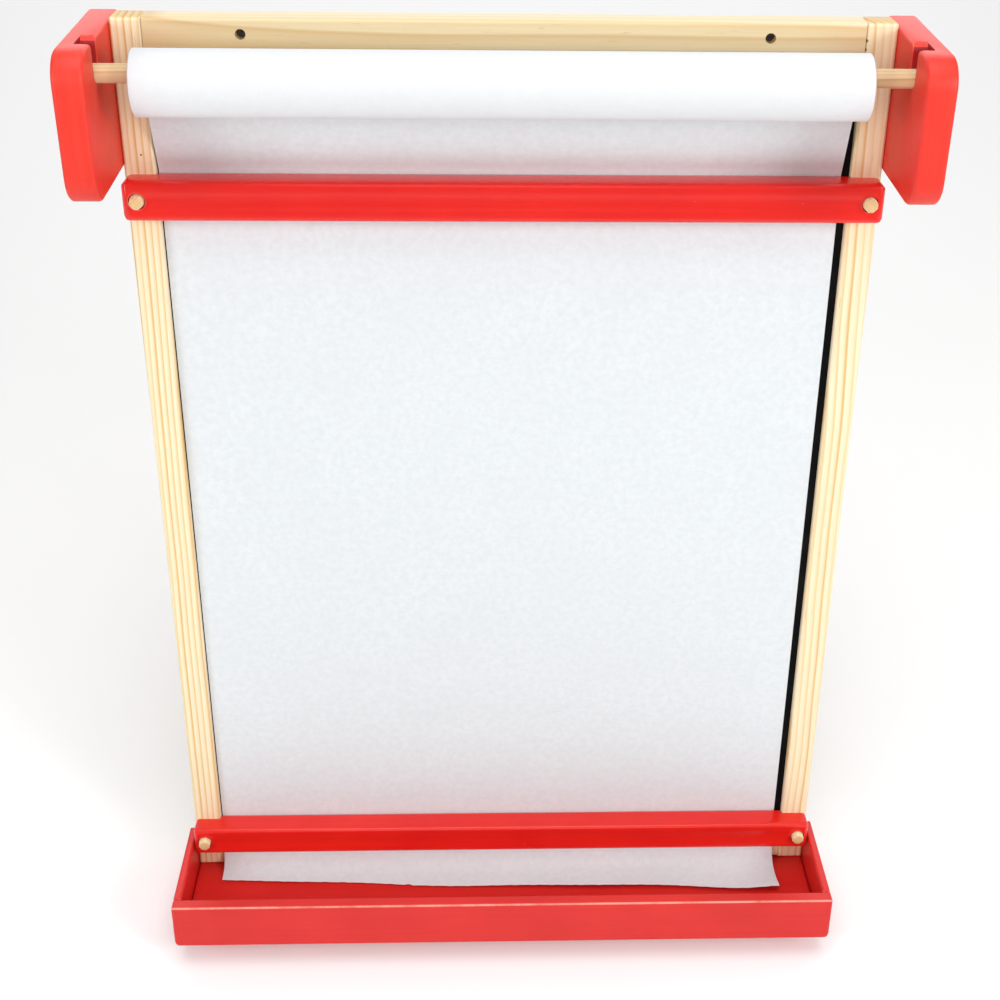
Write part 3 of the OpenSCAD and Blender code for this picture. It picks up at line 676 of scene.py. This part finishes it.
def bar_pin(name, x, u, seed, finish):
    """A hand-cut dowel pin: round in its hole, whittled to uneven facets at its blunt front end."""
    pins = board_box("upper_bar_pins" if u > ROLL_U / 2 else "lower_bar_pins")
    radius = float(pins[1][2] - pins[0][2]) / 2
    front, back = float(pins[0][1]), float(pins[1][1])
    rng = np.random.default_rng(seed)
    cut = rng.uniform(0.80, 0.94, 8)
    turn = rng.uniform(0, math.pi / 4)
    reach = 5.5 * MM

    def facets(along, angle):
        """The radius is cut by eight flats whose depth grows towards the front end."""
        share = np.clip(1 - (along - front) / reach, 0, 1)
        side = (angle - turn) / (math.pi / 4)
        flat = np.cos(math.pi / 8) / np.cos((side % 1 - 0.5) * math.pi / 4)
        depth = cut[np.floor(side).astype(int) % 8]
        return 1 - share * (1 - np.minimum(flat * depth * 1.04, 1))

    ease = 0.5 * MM
    profile = [(front + 0.15 * MM * k, radius * r) for k, r in ((0, 0.3), (0.4, 0.62), (1.1, 0.84))]
    profile += [(front + ease, radius * 0.95), (front + 1.6 * ease, radius)]
    profile += [(v, radius) for v in np.linspace(front + 2.4 * ease, back, 12)]
    points, faces = lathe(profile, 64, facets)
    turned = np.stack([x + points[:, 1], points[:, 0], u + points[:, 2]], -1)
    obj = piece(name, from_board(turned), faces, finish)
    sharpen(obj, 50)
    return obj


def roll_dowel(finish):
    """The dowel that the roll hangs on, with broken edges at its two ends."""
    low, high = DOWEL_LOW, DOWEL_HIGH
    radius = float(high[2] - low[2]) / 2
    ease = 0.8 * MM
    ends = [(0.0, radius - ease), (0.3 * ease, radius - 0.4 * ease), (ease, radius)]
    profile = [(low[0] + a, r) for a, r in ends]
    profile += [(v, radius) for v in np.linspace(low[0] + 3 * ease, high[0] - 3 * ease, 30)]
    profile += [(high[0] - a, r) for a, r in ends[::-1]]
    points, faces = lathe(profile, 72, lambda along, a: 1 - 0.004 * (1 + np.sin(3 * a + along * 30)))
    centre = (low + high) / 2
    turned = np.stack([points[:, 0], centre[1] + points[:, 1], centre[2] + points[:, 2]], -1)
    obj = piece("roll_dowel_turned", from_board(turned), faces, finish)
    sharpen(obj, 50)
    return obj


def build():
    """Every piece and every finish."""
    for name, facts in BOARDS.items():
        cover(name, pine("pine_" + name, **facts))
    for name, facts in LEG_BOARDS.items():
        cover(name, pine("pine_" + name, turn=LEG_TURN, **facts))
    bar_red = red_paint("red_gloss_bar", "x", RED_BRIGHT, RED_DEEP, rough=0.22, coat=0.2, seed=2.0)
    face = float(board_box("right_stile")[1][0])
    wide = float(DOWEL_HIGH[2] - DOWEL_LOW[2]) / 2 + 1.4 * MM
    middle = float(DOWEL_LOW[1] + DOWEL_HIGH[1]) / 2
    # The slot box marks where the bracket's slot walls are painted dark crimson as painted shade.
    slot_box = ((face + 0.4 * MM, middle - wide, DOWEL_LOW[2] - 1 * MM),
                (face + 8.0 * MM, middle + wide, 1.0))
    bracket_red = red_paint("red_satin_bracket", "u", (0.88, 0.052, 0.029), (0.70, 0.024, 0.014), rough=0.42,
                            worn=0.3, grain_depth=0.18 * MM, seed=6.0, figure=0.5, slot_shade=slot_box)
    tray_low, tray_high = board_box("tray_front")
    tray_red = red_paint("red_satin_tray", "x", (0.74, 0.025, 0.018), (0.58, 0.013, 0.012), rough=0.38,
                         worn=0.55, seed=9.0, rubbed_line=(tray_low[1], tray_high[2]))
    for side in ("left", "right"):
        node = side + "_roll_bracket"
        belongs(softened(node, 0.7 * MM, bracket_red), "board", "red_paint", node)
    for level in ("upper", "lower"):
        node = level + "_clamp_bar"
        belongs(softened(node, 0.35 * MM, bar_red), level + "_bar", "red_paint", node)
    for node in ("tray_front", "tray_left_side", "tray_right_side", "tray_floor"):
        cover(node, tray_red)
    cover("chalkboard_panel", chalkboard("chalkboard"))
    cover("roll_core", cardboard("tube_board"))
    zinc = plated("zinc_plate", (0.62, 0.62, 0.60), 0.38, (0.42, 0.42, 0.40))
    for node in ("bracket_screws", "pivot_bolts", "pivot_washers", "tray_nails", "tray_screws",
                 "leg_screws"):
        cover(node, zinc)
    cover("rail_screws", plated("dark_screw", (0.10, 0.09, 0.085), 0.5, (0.04, 0.035, 0.03)))
    dowel_x = pine("dowel_wood_x", "x", (-0.10, 0.50), 1.9 * MM, contrast=0.7, pale=(0.78, 0.60, 0.34),
                   mid=(0.64, 0.43, 0.20), dark=(0.46, 0.27, 0.10), seed=33.0, rough=0.5)
    dowel_n = pine("dowel_wood_n", "n", (0.05, 0.20), 1.3 * MM, contrast=0.6, pale=(0.92, 0.76, 0.48),
                   mid=(0.84, 0.64, 0.36), dark=(0.62, 0.42, 0.20), seed=36.0, rough=0.6)
    cover("frame_dowels", dowel_x)
    belongs(roll_dowel(dowel_x), "roll_dowel", "dowel_wood", "roll_dowel")
    for level in ("upper", "lower"):
        node = level + "_bar_pins"
        low, high = board_box(node)
        radius = (high[2] - low[2]) / 2
        for side, x in (("left", low[0] + radius), ("right", high[0] - radius)):
            seed = len(node) * 7 + int(x > 0)
            pin = bar_pin(f"{level}_{side}_pin", x, (low[2] + high[2]) / 2, seed, dowel_n)
            belongs(pin, "board", "dowel_wood", node)
    # The roll and the sheet are one paper. The roll's colour is painted darker as shade against the strong
    # top light, and the sheet's faint bluish tint is painted to cancel the red light that the paint throws
    # on it.
    roll_paper = paper("roll_paper", (0.725, 0.740, 0.755), 0.35, 4.0)
    belongs(paper_roll(roll_paper), "paper_roll", "paper", "paper_roll")
    sheet, long = paper_sheet(paper("sheet_paper", (0.735, 0.775, 0.795)))
    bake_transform(sheet)
    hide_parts("paper_sheet")


def cover(node, material):
    """Gives a CAD node its material."""
    mesh = frame["nodes"][node].data
    mesh.materials.clear()
    mesh.materials.append(material)


# ---- Stage ----

def area_light(name, place, aim, size, power):
    """A square soft light that faces a point."""
    lamp = bpy.data.lights.new(name, "AREA")
    lamp.shape = "SQUARE"
    lamp.size = size
    lamp.energy = power
    obj = bpy.data.objects.new(name, lamp)
    obj.location = place
    obj.rotation_euler = (Vector(aim) - Vector(place)).to_track_quat("-Z", "Y").to_euler()
    bpy.context.collection.objects.link(obj)


def stage():
    """A pale floor, a pale surround and five soft lights."""
    made, tree = new_material("pale_floor")
    place = add(tree, "ShaderNodeTexCoord").outputs["Object"]
    shade = mix(tree, noise(tree, place, 3.0, 3.0), (0.94, 0.94, 0.94), (0.96, 0.96, 0.96))
    surface(tree, shade, 0.9, None, Specular_IOR_Level=0.1)
    mesh = bpy.data.meshes.new("floor")
    half = 6.0
    corners = [(-half, -half, 0), (half, -half, 0), (half, half, 0), (-half, half, 0)]
    mesh.from_pydata(corners, [], [(0, 1, 2, 3)])
    mesh.materials.append(made)
    floor = bpy.data.objects.new("floor", mesh)
    bpy.context.collection.objects.link(floor)
    world = bpy.data.worlds.new("studio")
    world.use_nodes = True
    background = world.node_tree.nodes["Background"]
    background.inputs["Color"].default_value = (1, 1, 1, 1)
    background.inputs["Strength"].default_value = 0.33
    bpy.context.scene.world = world
    aim = (0, -0.05, 0.28)
    area_light("left", (-1.20, -0.95, 0.95), aim, 0.6, 8)
    area_light("right", (1.20, -0.95, 1.05), aim, 0.6, 12)
    area_light("front", (0.0, -1.6, 1.3), aim, 1.2, 5.4)
    area_light("top", (0.0, -0.1, 2.0), (0, -0.05, 0), 1.4, 16.5)
    area_light("backdrop", (0.0, 2.6, 1.1), (0, 0, 0.5), 3.0, 42)
    bpy.context.scene.view_settings.view_transform = "Standard"


def camera():
    """The camera, from where it stands in board space and how it is turned there."""
    lens = bpy.data.cameras.new("camera")
    lens.sensor_width = 36
    lens.lens = 57.73
    lens.shift_x = -0.0394
    lens.shift_y = 0.0034
    eye = from_board(np.array([-14.6, -828.28, 713.17]) * MM)
    pitch, yaw, roll = math.radians(28.17), math.radians(2.42), math.radians(0.97)
    ahead = np.array([math.sin(yaw) * math.cos(pitch), math.cos(yaw) * math.cos(pitch), -math.sin(pitch)])
    right = np.array([math.cos(yaw), -math.sin(yaw), 0])
    above = np.cross(right, ahead)
    tilted_right = right * math.cos(roll) + above * math.sin(roll)
    tilted_up = -right * math.sin(roll) + above * math.cos(roll)
    axes = np.stack([tilted_right @ TO_BOARD, tilted_up @ TO_BOARD, -ahead @ TO_BOARD], 1)
    obj = bpy.data.objects.new("camera", lens)
    obj.matrix_world = Matrix.Translation(Vector(eye)) @ Matrix(axes.tolist()).to_4x4()
    bpy.context.collection.objects.link(obj)
    bpy.context.scene.camera = obj


camera()
stage()
build()
